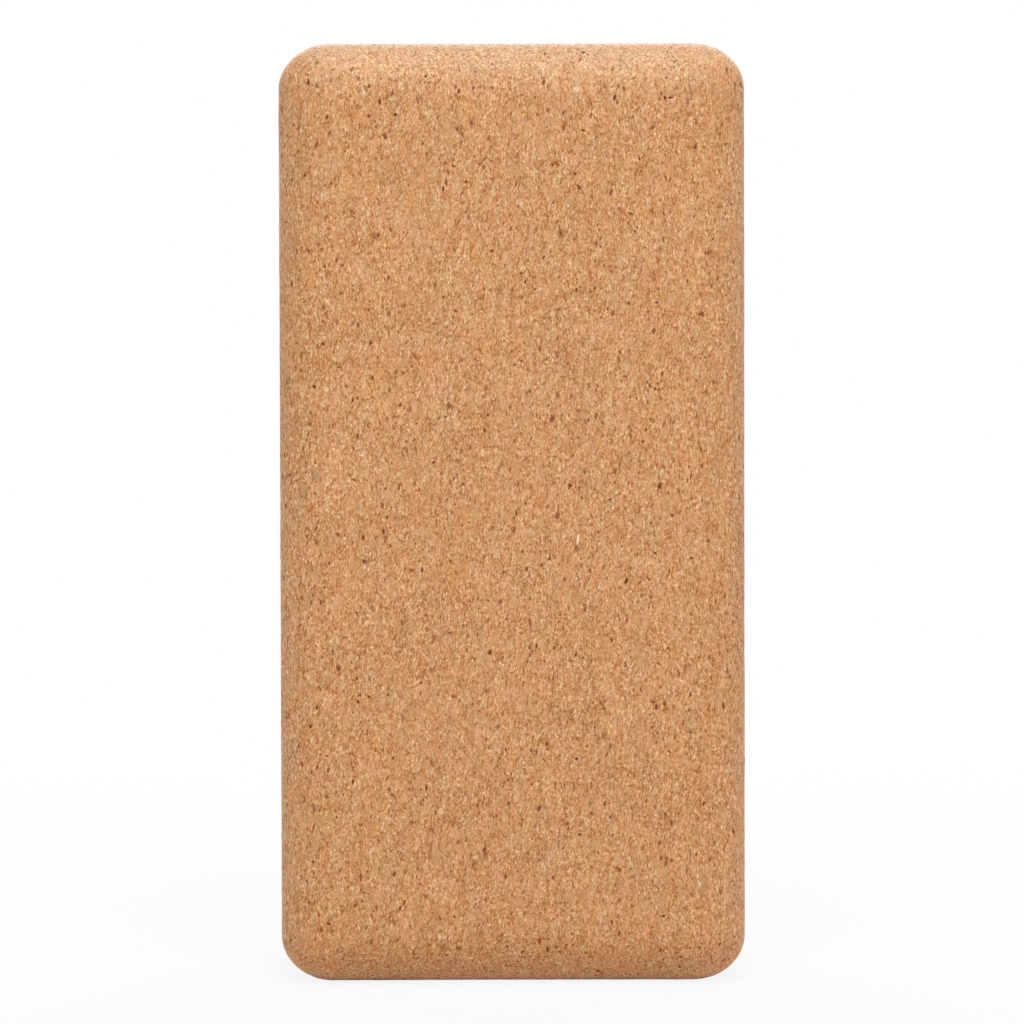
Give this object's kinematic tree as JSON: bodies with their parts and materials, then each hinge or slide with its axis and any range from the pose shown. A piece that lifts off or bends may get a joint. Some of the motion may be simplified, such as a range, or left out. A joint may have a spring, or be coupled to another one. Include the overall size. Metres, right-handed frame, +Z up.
{
  "type": "yoga block",
  "caption": "Solid cork yoga block: an upright brick of bonded cork granulate with all edges and corners rounded over, used as a firm support for hands, feet, hips or head.",
  "frame": {"origin": "middle of the short end that the block stands on", "axes": "+Z up the block's length, +X across its width to the right of the front face, +Y through its depth from the front face to the back face"},
  "size_m": [0.1134, 0.0762, 0.2286],
  "materials": {
    "cork": "sanded, bare agglomerated cork",
    "bark": "sanded dark cork bark",
    "lenticel": "sanded red-brown cork",
    "pale_cork": "sanded pale cork",
    "sliver": "sanded pale wood fibre"
  },
  "bodies": {
    "root": {"cork_body": "cork", "bark_granules": "bark", "lenticel_granules": "lenticel", "pale_granules": "pale_cork", "wood_slivers": "sliver"}
  },
  "joints": []
}
